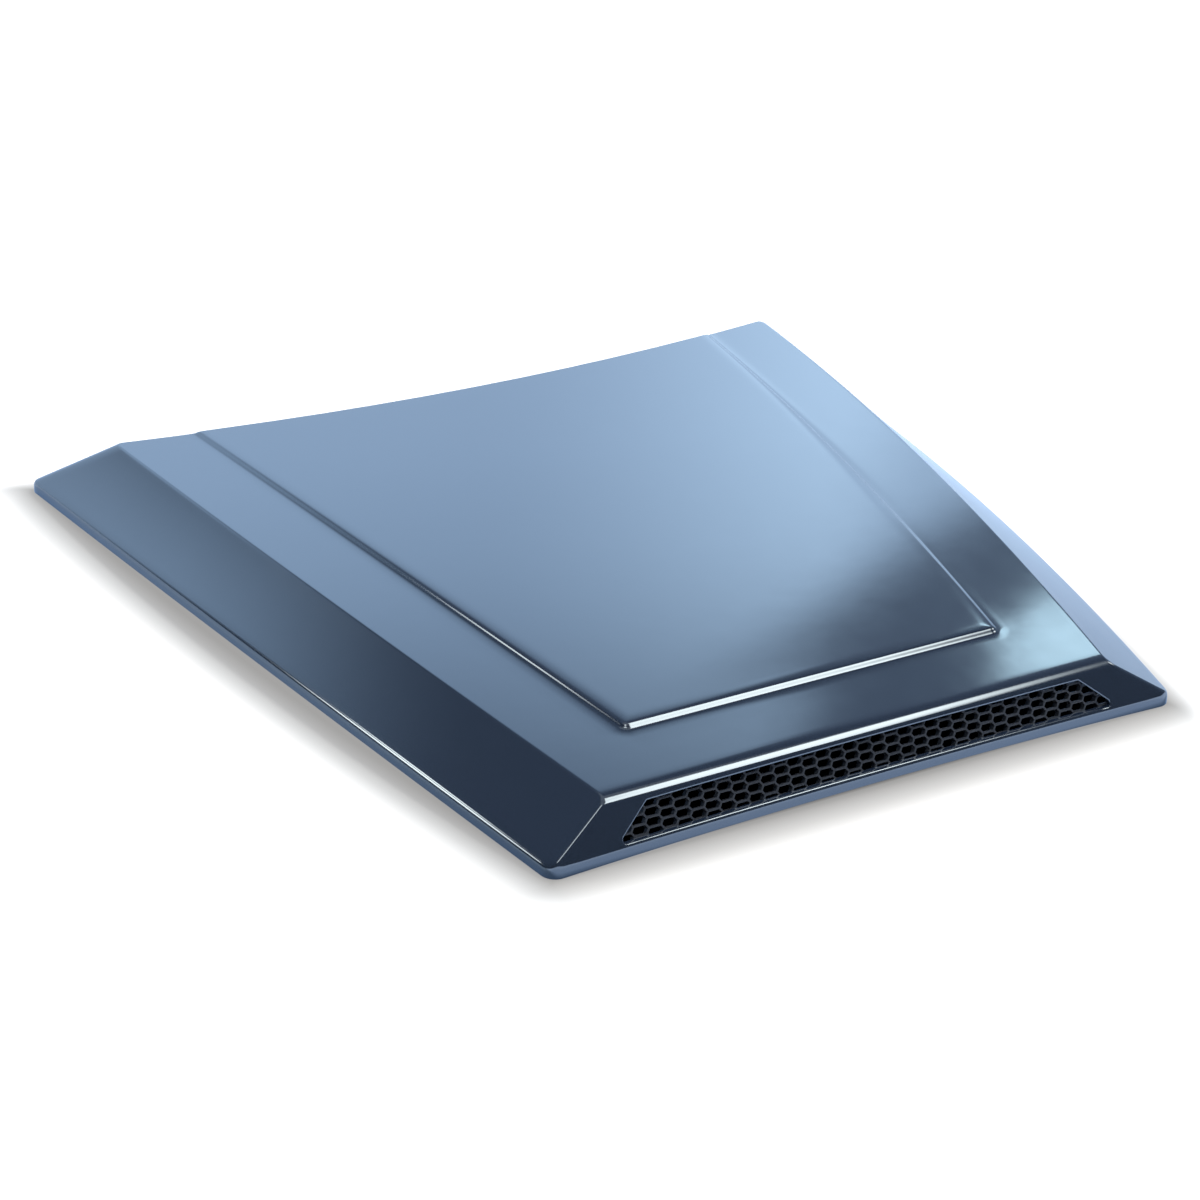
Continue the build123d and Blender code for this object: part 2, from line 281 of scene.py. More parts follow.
    def rear_line(self, s: Array, w: Array) -> tuple[Array, Array, Array]:
        """Point of the rear slope on the straight line s, from the top (w = 0) to the lip (w = 1)."""
        bow = 4 * s * (1 - s)
        high_y = self.y_rear - self.top_rear_hollow * bow
        mid_top = float(self.top_z(np.array(self.y_rear - self.top_rear_hollow)))
        end_top = float(self.top_z(np.array(self.y_rear)))
        high = self.top_r * (2 * s - 1), high_y, parabola(end_top, mid_top, end_top, s)
        mid_y = np.array(self.half_l - self.foot_rear_hollow)
        mid_low = self.lip_h + float(self.bonnet_z(np.array(0.0), mid_y))
        low_y = self.half_l - self.foot_rear_hollow * bow
        low = self.half_r * (2 * s - 1), low_y, parabola(self.lip_h, mid_low, self.lip_h, s)
        return tuple(a + (b - a) * w for a, b in zip(high, low))

    def height_on(self, line: Callable, x: Array, y: Array, s: Array) -> Array:
        """Height over a place of a sheet of straight lines, by Newton steps from a first guess of s."""
        w = np.full_like(s, 0.5)
        d = self.LINE_STEP
        for _ in range(self.LINE_TRIES):
            px, py, _z = line(s, w)
            sx, sy, _z = line(s + d, w)
            wx, wy, _z = line(s, w + d)
            a, b, c, e = (sx - px) / d, (wx - px) / d, (sy - py) / d, (wy - py) / d
            det = a * e - b * c
            det = np.where(np.abs(det) < self.LEAST_DET, self.LEAST_DET, det)
            s = np.clip(s + ((x - px) * e - b * (y - py)) / det, *self.LINE_RANGE)
            w = np.clip(w + (a * (y - py) - c * (x - px)) / det, *self.DOWN_RANGE)
        return line(s, w)[2]

    def flank_z(self, x: Array, y: Array) -> Array:
        """Height of the nearer flank, far up away from it."""
        side = np.abs(x)
        s = self.along(y)
        z = self.height_on(self.flank_line, side, y, s)
        inner = parabola(self.top_f, (self.top_f + self.top_r) / 2, self.top_r, s)
        return np.where(side > inner - self.flank_reach, z, FAR_UP)

    def rear_z(self, x: Array, y: Array) -> Array:
        """Height of the rear slope, far up away from it."""
        z = self.height_on(self.rear_line, x, y, (x / self.top_r + 1) / 2)
        return np.where(y > self.y_rear - self.rear_reach, z, FAR_UP)

    def outer_z(self, x: Array, y: Array) -> Array:
        """Height of the whole outside, with its edges rounded."""
        slopes = rounded(self.flank_z, self.rear_z, self.rear_corner_r)
        return rounded(self.nose_z, slopes, self.edge_r)(x, y)

    def inner_z(self, x: Array, y: Array) -> Array:
        """Height of the underside of the wall."""
        half = np.array(0.5)
        drops = []
        for line in (self.flank_line, self.rear_line):
            high, low = line(half, np.array(0.0)), line(half, np.array(1.0))
            run = math.hypot(high[0] - low[0], high[1] - low[1])
            drops.append(self.wall * math.hypot(run, high[2] - low[2]) / run)
        z = np.minimum(self.crown_z(x, y) - self.wall, self.face_z(x, y - self.wall_back, 0.0))
        return np.minimum(z, np.minimum(self.flank_z(x, y) - drops[0], self.rear_z(x, y) - drops[1]))

    def beyond_foot(self, x: Array, y: Array, side: float, front: float) -> Array:
        """Distance outside the foot's rounded outline, moved in by side and front.

        Args:
            x: Places across.
            y: Places along.
            side: How far the flanks and the rear are moved in.
            front: How far the front is moved in.

        Returns:
            The distances, less than zero inside.
        """
        d = SMALL_STEP
        splay = (self.foot_half(y + d) - self.foot_half(y - d)) / (2 * d)
        splay_l = np.sqrt(1 + splay ** 2)
        flank = (np.abs(x) - self.foot_half(y)) / splay_l + side
        sweep = 2 * self.foot_rear_hollow * np.abs(x) / self.half_r ** 2
        sweep_l = np.sqrt(1 + sweep ** 2)
        rear_y = self.half_l - self.foot_rear_hollow * (1 - (x / self.half_r) ** 2)
        rear_turn = -(sweep + splay) / (splay_l * sweep_l)
        ends = (
            (-self.half_l + front - y, splay / splay_l, self.foot_front_r - front),
            ((y - rear_y) / sweep_l + side, rear_turn, self.foot_rear_r - side),
        )
        out = flank
        for end, turn, radius in ends:
            r = max(radius, self.wall / 2)
            a, b = flank + r, end + r
            arc = np.sqrt(np.maximum(a * a + b * b - 2 * a * b * turn, 0) / (1 - turn ** 2)) - r
            corner = (a > b * turn) & (b > a * turn)
            out = np.maximum(out, np.where(corner, arc, np.maximum(flank, end)))
        return out

    # Lines of the mesh.

    STEP_LINES = (
        -14.0, -11.0, -8.5, -6.5, -5.0, -3.9, -3.0, -2.2, -1.5, -0.9, -0.3,
        0.3, 0.9, 1.5, 2.2, 3.0, 3.9, 5.0, 6.5, 8.5, 11.0,
    )
    INNER_SPREAD = 1.25
    OUTER_SPREAD = 0.42
    SPREAD_START = 12.0
    PANEL_SHARE = 0.985
    HOLLOW_START = -100.0
    EDGE_LINES = (9.5, 6.5, 4.0, 2.0, 0.9, 0.45, 0.0)
    MARGIN_LINES = (0.22, 0.40, 0.425, 0.45, 0.62, 0.81)
    PANEL_LINES = (0.2, 0.4, 0.6, 0.8, 1.0)
    FRONT_ROWS = (0.0, 0.6, 1.25, 2.0, 3.0, 4.2, 5.6, 7.5, 10.0, 14.0, 26.0, 40.0)
    REAR_ROWS = (30.0, 16.0, 10.0, 6.0, 3.5, 2.2, 1.0, 0.5, 0.0)
    PLAIN_ROWS = 22
    CREASE_ROWS = (0.0, 0.009, 0.018, 0.036, 0.072, 0.108, 0.145)
    SLOPE_ROWS = (0.2, 0.28, 0.36, 0.44, 0.52, 0.6, 0.68, 0.76, 0.84, 0.92, 1.0)
    FACE_ROWS = (0.19, 0.26, 0.30, 0.40, 0.55, 0.70, 0.86, 0.90, 0.936, 0.962, 1.0)
    SLOT_ROW_TOP = 7
    SLOT_ROW_BOTTOM = 15
    LIP_STEPS = 7
    TILT_STEP = 0.02
    FACE_END = 0.86
    ROLL_START = 0.9
    RIM_STEPS = 6
    LABELS = ("row", "col", "ring", "rim")
    SAME_PLACE = 2e-6

    def lay_lines(self) -> None:
        """Sets the plan of the top: the lines across and along that the mesh follows."""
        rows = [self.y_front + d for d in self.FRONT_ROWS]
        rows += [self.y_panel - d for d in reversed(self.STEP_LINES)]
        start, stop = rows[-1], self.y_rear - self.REAR_ROWS[0]
        rows += list(np.linspace(start, stop, self.PLAIN_ROWS + 1)[1:-1])
        rows += [self.y_rear - d for d in self.REAR_ROWS]
        self.rows = np.array(rows)
        half = len(self.PANEL_LINES) + len(self.STEP_LINES) + len(self.MARGIN_LINES) + len(self.EDGE_LINES)
        self.mid = half
        self.slot_col = len(self.PANEL_LINES) + len(self.STEP_LINES) + 4
        self.n_cols, self.n_rows = 2 * half + 1, len(rows)
        self.n_slope = len(self.CREASE_ROWS) + len(self.SLOPE_ROWS)

    def columns_at(self, y: Array) -> Array:
        """Places across of the columns right of the middle, at each y, the middle first."""
        s = (y - self.y_front) / (self.y_rear - self.y_front)
        edge = self.top_half(s)
        step = self.panel_half(y)
        start = self.y_panel - self.SPREAD_START
        ease = smooth((start - y) / (start - self.y_front))
        steps = []
        for d in self.STEP_LINES:
            spread = self.INNER_SPREAD if d < 0 else self.OUTER_SPREAD
            steps.append(step + d * (1 + spread * ease))
        inner, outer = steps[0], steps[-1]
        last = edge - self.EDGE_LINES[0]
        lines = [np.zeros_like(y)]
        lines += [inner * self.PANEL_SHARE * f for f in self.PANEL_LINES]
        lines += steps
        lines += [outer + (last - outer) * f for f in self.MARGIN_LINES]
        lines += [edge - d for d in self.EDGE_LINES]
        return np.array(lines)

    def both_sides(self, right: Array) -> Array:
        """Columns of both sides, from those right of the middle."""
        return np.concatenate([-right[:0:-1], right])

    def plan_top(self) -> tuple[Array, Array]:
        """Plan of the top: X and Y by row and column."""
        last = self.columns_at(np.full(1, self.y_rear))[:, 0]
        s = (self.both_sides(last) / self.top_r + 1) / 2
        w = np.zeros_like(s)
        for _ in range(self.REAR_TRIES):
            x, y, z = self.rear_line(s, w)
            z_high, z_low = self.rear_line(s, np.zeros_like(s))[2], self.rear_line(s, np.ones_like(s))[2]
            w = w + (z - self.crown_z(x, y)) / (z_high - z_low)
        self.rear_s, self.rear_w = s, w
        x_end, y_end, _z = self.rear_line(s, w)
        blend = smooth((self.rows - self.HOLLOW_START) / (self.y_rear - self.HOLLOW_START))[:, None]
        ys = self.rows[:, None] + (y_end - self.y_rear)[None, :] * blend
        xs = np.empty_like(ys)
        for c in range(self.n_cols):
            k = abs(c - self.mid)
            sign = -1.0 if c < self.mid else 1.0
            xs[:, c] = sign * self.columns_at(ys[:, c])[k]
        xs += (x_end - xs[-1])[None, :] * blend
        return xs, ys

    def stations(self) -> list[tuple[int, int]]:
        """Border of the top, once round, as row and column."""
        last_c, last_r = self.n_cols - 1, self.n_rows - 1
        loop = [(0, c) for c in range(self.n_cols)]
        loop += [(r, last_c) for r in range(1, self.n_rows)]
        loop += [(last_r, c) for c in range(last_c - 1, -1, -1)]
        loop += [(r, 0) for r in range(last_r - 1, 0, -1)]
        return loop

    def slope_points(self, w: Array) -> tuple[Array, Array]:
        """Plan of a place w down the slope at each station, w = 0 at the top's edge and 1 at the lip."""
        x, y = np.empty(len(self.loop)), np.empty(len(self.loop))
        for n, (r, c) in enumerate(self.loop):
            if r == 0:
                p = self.front_x[c] / self.top_f
                x[n] = p * (self.top_f + (self.half_f - self.top_f) * w[n])
                y[n] = self.y_front - self.top_front_inset * w[n]
            elif r == self.n_rows - 1:
                down = self.rear_w[c] + (1 - self.rear_w[c]) * w[n]
                x[n], y[n], _z = self.rear_line(self.rear_s[c], down)
            else:
                s = (self.rows[r] - self.y_front) / (self.y_rear - self.y_front)
                px, y[n], _z = self.flank_line(s, w[n])
                x[n] = px if c else -px
        return x, y

    def meet_foot(self, side: float, front: float) -> Array:
        """How far down each station's line the foot's outline is met, moved in by side and front."""
        low, high = (np.full(len(self.loop), end) for end in self.FOOT_RANGE)
        for _ in range(self.HALVINGS):
            w = (low + high) / 2
            outside = self.beyond_foot(*self.slope_points(w), side, front) > 0
            low, high = np.where(outside, low, w), np.where(outside, w, high)
        return (low + high) / 2

    def roll_at(self, row: int, col: int) -> float:
        """Radius of the roll from the slope to the lip at a station, less along the front."""
        if row:
            return self.lip_roll
        p = abs(self.front_x[col]) / self.top_f
        share = float(smooth((p - self.ROLL_START) / (1 - self.ROLL_START)))
        return self.front_lip_roll + (self.lip_roll - self.front_lip_roll) * share

    def slot_edge(self) -> dict[tuple[int, int], tuple[float, float, float, float]]:
        """Outline of the slot, seen from in front, for the mesh's points round it.

        Returns:
            Place and outward direction, X then Z, by row and column.
        """
        half_t, half_b = self.slot_top_w / 2, self.slot_bottom_w / 2
        c2 = self.slot_col
        r = self.slot_corner_r
        slant = np.array([half_b - half_t, self.slot_bottom_h - self.slot_top_h])
        slant = slant / np.linalg.norm(slant)
        normal = np.array([-slant[1], slant[0]])
        head, sill = np.array([half_t, self.slot_top_h]), np.array([half_b, self.slot_bottom_h])
        head_n, sill_n = np.array([0.0, 1.0]), np.array([0.0, -1.0])

        def corner(at: Array, first: Array, second: Array) -> Callable[[float], tuple[Array, Array]]:
            """Rounded corner between two straight edges with those outward directions."""
            centre = at - r * (first + second) / (1 + first.dot(second))
            a = math.atan2(first[1], first[0])
            b = math.atan2(second[1], second[0])

            def point(t: float) -> tuple[Array, Array]:
                """Place and outward direction a share t round the corner."""
                out = np.array([math.cos(a + (b - a) * t), math.sin(a + (b - a) * t)])
                return centre + r * out, out

            return point

        top_corner, low_corner = corner(head, head_n, normal), corner(sill, normal, sill_n)
        found: dict[tuple[int, int], tuple[float, float, float, float]] = {}

        def put(row: int, k: int, place: Array, out: Array) -> None:
            """Keeps a point on both sides of the middle."""
            found[(row, self.mid + k)] = (place[0], place[1], out[0], out[1])
            found[(row, self.mid - k)] = (-place[0], place[1], -out[0], out[1])

        rows = list(range(self.SLOT_ROW_TOP, self.SLOT_ROW_BOTTOM + 1))
        shares = (0, 0.25, 0.5, 0.75, 1)
        high = (rows[0], c2 - 2), (rows[0], c2 - 1), (rows[0], c2), (rows[1], c2), (rows[2], c2)
        low = (rows[-3], c2), (rows[-2], c2), (rows[-1], c2), (rows[-1], c2 - 1), (rows[-1], c2 - 2)
        for t, (row, k) in zip(shares, high):
            put(row, k, *top_corner(t))
        for t, (row, k) in zip(shares, low):
            put(row, k, *low_corner(t))
        start, stop = top_corner(1)[0], low_corner(0)[0]
        between = rows[3:-3]
        for m, row in enumerate(between, start=1):
            put(row, c2, start + (stop - start) * m / (len(between) + 1), normal)
        for row, end_x, base, lift, out in (
            (rows[0], top_corner(0)[0][0], self.slot_top_h, self.slot_top_rise, head_n),
            (rows[-1], low_corner(1)[0][0], self.slot_bottom_h, self.slot_bottom_rise, sill_n),
        ):
            half = half_t if row == rows[0] else half_b
            full = self.front_x[self.mid + c2 - 2]
            for k in range(0, c2 - 2):
                x = end_x * self.front_x[self.mid + k] / full
                put(row, k, np.array([x, base + lift * (1 - (x / half) ** 2)]), out)
        return found

    def face_y(self, x: float, z: float, rise: float) -> float:
        """Place along of the front face at a height."""
        low = self.face_low(x, rise)
        return -self.half_l + self.top_front_inset * (z - low) / (self.z_front - low)

    def pulled(self, y: Array) -> Array:
        """Place along of the underside's points, moved back by the front wall."""
        return y + self.wall_back * (1 - smooth((y - self.y_front) / self.wall_ease))

    def work_out(self) -> None:
        """Works out the place of every point of the mesh."""
        self.lay_lines()
        xs, ys = self.plan_top()
        self.front_x = xs[0]
        self.loop = self.stations()
        self.outer_top = as_points(xs, ys, self.outer_z(xs, ys))
        back = self.pulled(ys)
        self.inner_top = as_points(xs, back, self.inner_z(xs, back))

        count = len(self.loop)
        end_w = self.meet_foot(0.0, 0.0)
        land_w = self.meet_foot(self.land_w, self.front_land_w - self.wall_back)
        ex, ey = self.slope_points(end_w)
        hx, hy = self.slope_points(end_w - self.TILT_STEP)
        ez, hz = self.outer_z(ex, ey), self.outer_z(hx, hy)
        run = np.hypot(hx - ex, hy - ey)
        tilt = np.arctan2(hz - ez, run)
        rolls = np.array([self.roll_at(*station) for station in self.loop])
        bend = rolls * np.tan((math.pi / 2 - tilt) / 2)
        drop = np.maximum(bend, self.lip_drop)
        lip_w = end_w - self.TILT_STEP * bend * np.cos(tilt) / run

        share = np.zeros((self.n_slope, count))
        for n, (r, c) in enumerate(self.loop):
            plain = np.array(self.CREASE_ROWS + self.SLOPE_ROWS)
            if r == 0:
                p = abs(self.front_x[c]) / self.top_f
                face = np.array(self.CREASE_ROWS + self.FACE_ROWS)
                share[:, n] = face + (plain - face) * smooth((p - self.FACE_END) / (1 - self.FACE_END))
            else:
                share[:, n] = plain

        rings: list[Array] = []
        for k in range(1, self.n_slope):
            x, y = self.slope_points(share[k] * lip_w)
            rings.append(as_points(x, y, self.outer_z(x, y)))
        start, edge = rings[-1], as_points(ex, ey, ez)
        below = edge - as_points(0 * drop, 0 * drop, drop)
        for m in range(1, self.LIP_STEPS + 1):
            rings.append(curve(start, edge, below, m / self.LIP_STEPS))
        foot = as_points(ex, ey, self.bonnet_z(ex, ey))
        rings.append((below + foot) / 2)
        rings.append(foot)
        self.last_outer = len(rings)
        lx, ly = self.slope_points(land_w)
        ly = self.pulled(ly)
        rings.append(as_points(lx, ly, self.bonnet_z(lx, ly)))
        self.first_inner = len(rings) + 1
        for k in range(self.n_slope - 1, -1, -1):
            x, y = self.slope_points(share[k] * land_w)
            y = self.pulled(y)
            rings.append(as_points(x, y, self.inner_z(x, y)))
        for n, (r, c) in enumerate(self.loop):
            rings[-1][n] = self.inner_top[r, c]
        self.rings = rings
        self.place_slot()

    def inner_ring(self, row: int) -> int:
        """Number of the ring under the wall that runs below a row of the slopes."""
        return self.first_inner + self.n_slope - 1 - row

    def place_slot(self) -> None:
        """Moves the mesh's points round the slot to its outline, and works out its rim."""
        self.rim: dict[tuple[int, int], list[Array]] = {}
        steps = self.RIM_STEPS
        for (row, c), (x, z, nx, nz) in self.slot_edge().items():
            turn = math.acos(-nz * self.face_back)
            bend = self.slot_rim_r * math.tan(turn / 2)
            edge = np.array([x, self.face_y(x, z, self.front_lip_rise), z])
            fx, fz = x + nx * bend, z + nz * bend * self.face_up
            face = np.array([fx, self.face_y(fx, fz, self.front_lip_rise), fz])
            inside = edge + np.array([0.0, bend, 0.0])
            back = np.array([x, self.face_y(x, z, 0.0) + self.wall_back, z])
            bend_points = [curve(face, edge, inside, m / steps) for m in range(1, steps + 1)]
            self.rim[(row, c)] = bend_points + [back]
            self.rings[row - 1][c] = face
            self.rings[self.inner_ring(row) - 1][c] = back

    # Making of the mesh.

    @staticmethod
    def add_grid(name: str, n_cols: int, n_rows: int) -> Piece:
        """Adds a grid whose points know their column and row."""
        bpy.ops.object.select_all(action="DESELECT")
        bpy.ops.mesh.primitive_grid_add(x_subdivisions=n_cols - 1, y_subdivisions=n_rows - 1, size=1.0)
        grid = bpy.context.active_object
        grid.name = name
        count = len(grid.data.vertices)
        if count != n_cols * n_rows:
            raise ValueError(f"grid has {count} points")
        places = np.empty(count * 3)
        grid.data.vertices.foreach_get("co", places)
        places = places.reshape(-1, 3)
        for label, values in (
            ("col", np.rint((places[:, 0] + 0.5) * (n_cols - 1))),
            ("row", np.rint((places[:, 1] + 0.5) * (n_rows - 1))),
            ("ring", np.zeros(count)),
            ("rim", np.zeros(count)),
        ):
            layer = grid.data.attributes.new(label, "INT", "POINT")
            layer.data.foreach_set("value", values.astype(np.int32))
        return grid

    @staticmethod
    def numbers(piece: Piece, label: str) -> Array:
        """Numbers that a mesh's points carry under a label."""
        values = np.empty(len(piece.data.vertices), dtype=np.int32)
        piece.data.attributes[label].data.foreach_get("value", values)
        return values

    @staticmethod
    def mark_new(piece: Piece, label: str, value: int) -> None:
        """Gives the selected points a number under a label."""
        bpy.ops.object.mode_set(mode="OBJECT")
        count = len(piece.data.vertices)
        chosen = np.empty(count, dtype=bool)
        piece.data.vertices.foreach_get("select", chosen)
        values = ScoopShell.numbers(piece, label)
        values[chosen] = value
        piece.data.attributes[label].data.foreach_set("value", values)

    def draw_rings(self, piece: Piece) -> None:
        """Extrudes the border of the top once for each ring of the slopes, the lip and the underside."""
        for number in range(1, len(self.rings) + 1):
            bpy.ops.object.mode_set(mode="EDIT")
            bpy.ops.mesh.select_mode(type="EDGE")
            bpy.ops.mesh.select_all(action="DESELECT")
            bpy.ops.mesh.select_non_manifold(
                extend=False, use_wire=False, use_boundary=True, use_multi_face=False,
                use_non_contiguous=False, use_verts=False,
            )
            bpy.ops.mesh.extrude_edges_move()
            self.mark_new(piece, "ring", number)

    def in_slot(self, rows: Array, cols: Array, rings: Array, inner: bool) -> Array:
        """Which points lie in the slot or on its border, outside or under the wall."""
        slope = self.inner_ring(rings) if inner else rings
        return (
            (rows == 0) & (np.abs(cols - self.mid) <= self.slot_col)
            & (slope >= self.SLOT_ROW_TOP) & (slope <= self.SLOT_ROW_BOTTOM)
        )

    def cut_slot(self, piece: Piece) -> None:
        """Deletes the faces in the slot, outside and under the wall."""
        data = piece.data
        rows, cols, rings = (self.numbers(piece, label) for label in ("row", "col", "ring"))
        hit = [self.in_slot(rows, cols, rings, inner) for inner in (False, True)]
        for item in (data.vertices, data.edges):
            item.foreach_set("select", np.zeros(len(item), dtype=bool))
        for face in data.polygons:
            face.select = any(all(side[v] for v in face.vertices) for side in hit)
        bpy.ops.object.mode_set(mode="EDIT")
        bpy.ops.mesh.select_mode(type="FACE")
        bpy.ops.mesh.delete(type="FACE")
        bpy.ops.object.mode_set(mode="OBJECT")

    def draw_rim(self, piece: Piece) -> None:
        """Extrudes the slot's border round its rim and through the wall."""
        for number in range(1, self.RIM_STEPS + 2):
            data = piece.data
            rows, cols, rings, rims = (self.numbers(piece, label) for label in self.LABELS)
            border = self.in_slot(rows, cols, rings, False) & (rims == number - 1)
            uses = np.zeros(len(data.edges), dtype=int)
            keys = {edge.key: edge.index for edge in data.edges}
            for face in data.polygons:
                for key in face.edge_keys:
                    uses[keys[key]] += 1
            for item in (data.vertices, data.polygons):
                item.foreach_set("select", np.zeros(len(item), dtype=bool))
            for edge in data.edges:
                a, b = edge.vertices
                edge.select = bool(uses[edge.index] == 1 and border[a] and border[b])
                if edge.select:
                    data.vertices[a].select = data.vertices[b].select = True
            bpy.ops.object.mode_set(mode="EDIT")
            bpy.ops.mesh.select_mode(type="EDGE")
            bpy.ops.mesh.extrude_edges_move()
            self.mark_new(piece, "rim", number)

    def set_places(self, piece: Piece, top: Array) -> None:
        """Moves every point of a mesh to its place."""
        rows, cols, rings, rims = (self.numbers(piece, label) for label in self.LABELS)
        order = {station: n for n, station in enumerate(self.loop)}
        places = np.empty((len(rows), 3))
        for v in range(len(rows)):
            if rims[v]:
                places[v] = self.rim[(rings[v], cols[v])][rims[v] - 1]
            elif rings[v]:
                places[v] = self.rings[rings[v] - 1][order[(rows[v], cols[v])]]
            else:
                places[v] = top[rows[v], cols[v]]
        places += (0.0, self.seat_y, self.seat_z)
        piece.data.vertices.foreach_set("co", (places * MM).ravel())
        piece.data.update()

    def build(self) -> Piece:
        """Models the shell.

        Returns:
            The finished piece, riding on the part and standing for its solid.
        """
        self.work_out()
        shell = self.add_grid("shell_moulding", self.n_cols, self.n_rows)
        self.draw_rings(shell)
        self.cut_slot(shell)
        self.draw_rim(shell)
        self.set_places(shell, self.outer_top)
        roof = self.add_grid("shell_under_top", self.n_cols, self.n_rows)
        self.set_places(roof, self.inner_top)
        bpy.ops.object.select_all(action="DESELECT")
        roof.select_set(True)
        shell.select_set(True)
        bpy.context.view_layer.objects.active = shell
        bpy.ops.object.join()
        bpy.ops.object.mode_set(mode="EDIT")
        bpy.ops.mesh.select_all(action="SELECT")
        bpy.ops.mesh.remove_doubles(threshold=self.SAME_PLACE)
        bpy.ops.mesh.normals_make_consistent(inside=False)
        bpy.ops.object.mode_set(mode="OBJECT")
        bpy.ops.object.shade_smooth_by_angle(angle=math.radians(self.smooth_angle))
        for label in self.LABELS:
            shell.data.attributes.remove(shell.data.attributes[label])
        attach(shell, "root")
        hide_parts("scoop_shell")
        return shell

    def dress(self, shell: Piece) -> None:
        """Gives the shell its gloss."""
        shell.data.materials.append(Finishes.GLOSS.value.material())


@dataclass
class GrilleMesh:
    """The honeycomb sheet behind the slot, which keeps its solid's own form."""

    node: str = "grille_mesh"

    def build(self) -> Piece:
        """Finds the sheet in the frame."""
        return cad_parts[self.node]

    def dress(self, sheet: Piece) -> None:
        """Gives the sheet its charcoal satin."""
        sheet.data.materials.clear()
        sheet.data.materials.append(Finishes.MESH.value.material())


@dataclass
class PhotoCamera:
    """Camera at the photograph's place."""

    place: Place = (-0.86365, -1.59685, 0.88119)
    look: Place = (0.42038, 0.79008, -0.44616)
    lens_mm: float = 76.27
    sensor_mm: float = 36.0
    clip: Span = (0.05, 60.0)

    def build(self) -> None:
        """Adds the camera and makes it the scene's own."""
        data = bpy.data.cameras.new("photo_camera")
        data.lens = self.lens_mm
        data.sensor_width = self.sensor_mm
        data.sensor_fit = "HORIZONTAL"
        data.clip_start, data.clip_end = self.clip
        camera = bpy.data.objects.new("photo_camera", data)
        camera.location = self.place
        camera.rotation_euler = Vector(self.look).to_track_quat("-Z", "Y").to_euler()
        bpy.context.scene.collection.objects.link(camera)
        bpy.context.scene.camera = camera


class Shader:
    """Small helper that writes a node tree."""

    def __init__(self, tree: bpy.types.NodeTree) -> None:
        """Empties the tree."""
        self.tree = tree
        tree.nodes.clear()

    def add(self, kind: str, inputs: dict | None = None, **settings: object) -> bpy.types.Node:
        """Adds a node.

        Args:
            kind: Type of the node.
            inputs: Values or sockets by the name or number of the input.
            settings: Other settings of the node.

        Returns:
            The node.
        """
        node = self.tree.nodes.new(kind)
        for name, value in settings.items():
            setattr(node, name, value)
        for name, value in (inputs or {}).items():
            if isinstance(value, Socket):
                self.tree.links.new(value, node.inputs[name])
            else:
                node.inputs[name].default_value = value
        return node

    def math(self, operation: str, first: object, second: object = 0.0) -> Socket:
        """Adds a maths node that works the given operation on two values."""
        return self.add("ShaderNodeMath", {0: first, 1: second}, operation=operation).outputs[0]

    def times(self, first: object, second: object) -> Socket:
        """Adds a product of two values."""
        return self.math("MULTIPLY", first, second)

    def dot(self, first: object, second: object) -> Socket:
        """Adds a dot product of two vectors."""
        node = self.add("ShaderNodeVectorMath", {0: first, 1: second}, operation="DOT_PRODUCT")
        return node.outputs["Value"]

    def noise(self, scale: float, detail: float, place: Socket) -> Socket:
        """Adds noise on the object's own coordinates."""
        node = self.add("ShaderNodeTexNoise", {"Vector": place, "Scale": scale, "Detail": detail})
        return node.outputs[0]

    def ramp(self, value: object, low: float, high: float, start: float, stop: float,
             kind: str = "LINEAR") -> Socket:
        """Adds a map of a value from the range low to high to the range start to stop."""
        return self.add("ShaderNodeMapRange", {
            "Value": value, "From Min": low, "From Max": high, "To Min": start, "To Max": stop,
        }, interpolation_type=kind).outputs[0]

    def ease(self, value: object, span: Span, start: float, stop: float) -> Socket:
        """Adds a soft map of a value from a span to the range start to stop."""
        return self.ramp(value, *span, start, stop, "SMOOTHSTEP")

    def mix(self, share: object, first: object, second: object) -> Socket:
        """Adds a mix of two colours, each a socket or red, green and blue."""
        ends = [end if isinstance(end, Socket) else (*end, 1.0) for end in (first, second)]
        return self.add("ShaderNodeMix", {0: share, 6: ends[0], 7: ends[1]}, data_type="RGBA").outputs[2]


@dataclass(frozen=True)
class Finish:
    """Moulded plastic: two close colours, a gloss that varies a little, and a faint waviness."""

    name: str
    color: Color
    color_two: Color
    roughness: Span
    reflect: float
    tint: Color
    wave_scale: float
    wave_depth: float
    cloud_scale: float = 14.0
    gloss_scale: float = 45.0
    gloss_span: Span = (0.3, 0.7)

    def material(self) -> bpy.types.Material:
        """Makes the material, on the object's own coordinates."""
        material = bpy.data.materials.new(self.name)
        material.use_nodes = True
        sh = Shader(material.node_tree)
        place = sh.add("ShaderNodeTexCoord").outputs["Object"]
        color = sh.mix(sh.noise(self.cloud_scale, 2.0, place), self.color, self.color_two)
        rough = sh.ramp(sh.noise(self.gloss_scale, 3.0, place), *self.gloss_span, *self.roughness)
        bump = sh.add("ShaderNodeBump", {
            "Height": sh.noise(self.wave_scale, 1.0, place), "Strength": 1.0, "Distance": self.wave_depth,
        })
        shader = sh.add("ShaderNodeBsdfPrincipled", {
            "Base Color": color, "Roughness": rough, "Normal": bump.outputs[0],
            "Specular IOR Level": self.reflect, "Specular Tint": (*self.tint, 1.0),
        })
        sh.add("ShaderNodeOutputMaterial", {"Surface": shader.outputs[0]})
        return material


